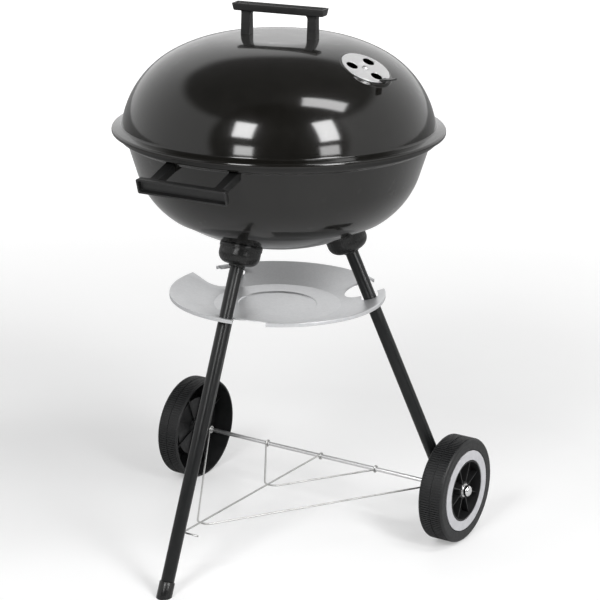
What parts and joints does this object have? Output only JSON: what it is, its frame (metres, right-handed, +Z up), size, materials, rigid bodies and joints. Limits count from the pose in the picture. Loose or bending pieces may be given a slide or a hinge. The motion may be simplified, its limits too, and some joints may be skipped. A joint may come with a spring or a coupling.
{
  "type": "kettle charcoal grill",
  "caption": "Round kettle charcoal grill with a domed lid on three splayed legs, with an ash tray, a wire rack and two wheels.",
  "frame": {"origin": "on the floor, straight under the kettle's axis", "axes": "+Z up; X along the wheels' axle, +X right; the front leg and the bowl's handle are towards -Y, the wheels towards +Y"},
  "size_m": [0.496, 0.5093, 0.7552],
  "materials": {
    "black_enamel": "glossy vitreous enamel",
    "handle_plastic": "moulded, fine grain",
    "socket_plastic": "moulded, semi-matt",
    "leg_paint": "semi-gloss paint",
    "damper_aluminium": "brushed",
    "tab_plastic": "moulded",
    "rivet_aluminium": "satin",
    "zinc_sheet": "bright zinc plate",
    "zinc_wire": "zinc plated wire",
    "axle_steel": "zinc plated rod",
    "screw_steel": "zinc plated",
    "grate_chrome": "chrome plated wire",
    "cap_chrome": "chrome plated cap",
    "wheel_plastic": "moulded, dark grey",
    "ring_plastic": "moulded, pale grey"
  },
  "bodies": {
    "base": {"bowl_shell": "black_enamel", "bowl_handle": "handle_plastic", "bowl_handle_screws": "screw_steel", "bowl_damper_rivet": "rivet_aluminium", "grate_brackets": "zinc_sheet", "front_socket": "socket_plastic", "right_socket": "socket_plastic", "left_socket": "socket_plastic", "front_leg": "leg_paint", "right_leg": "leg_paint", "left_leg": "leg_paint", "leg_bolts": "screw_steel", "leg_plugs": "screw_steel", "front_leg_cap": "socket_plastic", "axle": "axle_steel", "axle_washers": "axle_steel", "right_hub_cap": "cap_chrome", "left_hub_cap": "cap_chrome", "rack_outer_brace": "zinc_wire", "rack_inner_brace": "zinc_wire", "rack_spine": "zinc_wire", "rack_cross_wire": "zinc_wire"},
    "lid": {"lid_shell": "black_enamel", "lid_handle": "handle_plastic", "lid_handle_screws": "screw_steel", "lid_damper_rivet": "rivet_aluminium"},
    "lid_vent": {"lid_damper": "damper_aluminium", "lid_damper_tab": "tab_plastic"},
    "bowl_vent": {"bowl_damper": "damper_aluminium", "bowl_damper_tab": "tab_plastic"},
    "tray": {"ash_tray": "zinc_sheet"},
    "cooking_grate_body": {"cooking_grate": "grate_chrome"},
    "charcoal_grate_body": {"charcoal_grate": "grate_chrome"},
    "right_wheel_body": {"right_wheel": "wheel_plastic", "right_wheel_ring": "ring_plastic"},
    "left_wheel_body": {"left_wheel": "wheel_plastic", "left_wheel_ring": "ring_plastic"}
  },
  "joints": [
    {"name": "lid_lift", "type": "slide", "parent": "base", "child": "lid", "axis": [0, 0, 1], "range_m": [0, 0.3]},
    {"name": "lid_vent_turn", "type": "hinge", "parent": "lid", "child": "lid_vent", "pos_m": [0.14289, -0.01502, 0.68918], "axis": [0.4328, -0.0455, 0.9003], "range_deg": [0, 60]},
    {"name": "bowl_vent_turn", "type": "hinge", "parent": "base", "child": "bowl_vent", "pos_m": [0, 0, 0.43057], "axis": [0, 0, 1], "range_deg": [0, 60]},
    {"name": "tray_turn", "type": "hinge", "parent": "base", "child": "tray", "pos_m": [0, 0, 0.35], "axis": [0, 0, 1], "range_deg": [-18, 0]},
    {"name": "cooking_grate_lift", "type": "slide", "parent": "base", "child": "cooking_grate_body", "axis": [0, 0, 1], "range_m": [0, 0.035]},
    {"name": "charcoal_grate_lift", "type": "slide", "parent": "base", "child": "charcoal_grate_body", "axis": [0, 0, 1], "range_m": [0, 0.06]},
    {"name": "right_wheel_spin", "type": "hinge", "parent": "base", "child": "right_wheel_body", "pos_m": [0.224, 0.12067, 0.075], "axis": [1, 0, 0], "continuous": true},
    {"name": "left_wheel_spin", "type": "hinge", "parent": "base", "child": "left_wheel_body", "pos_m": [-0.224, 0.12067, 0.075], "axis": [1, 0, 0], "continuous": true}
  ]
}
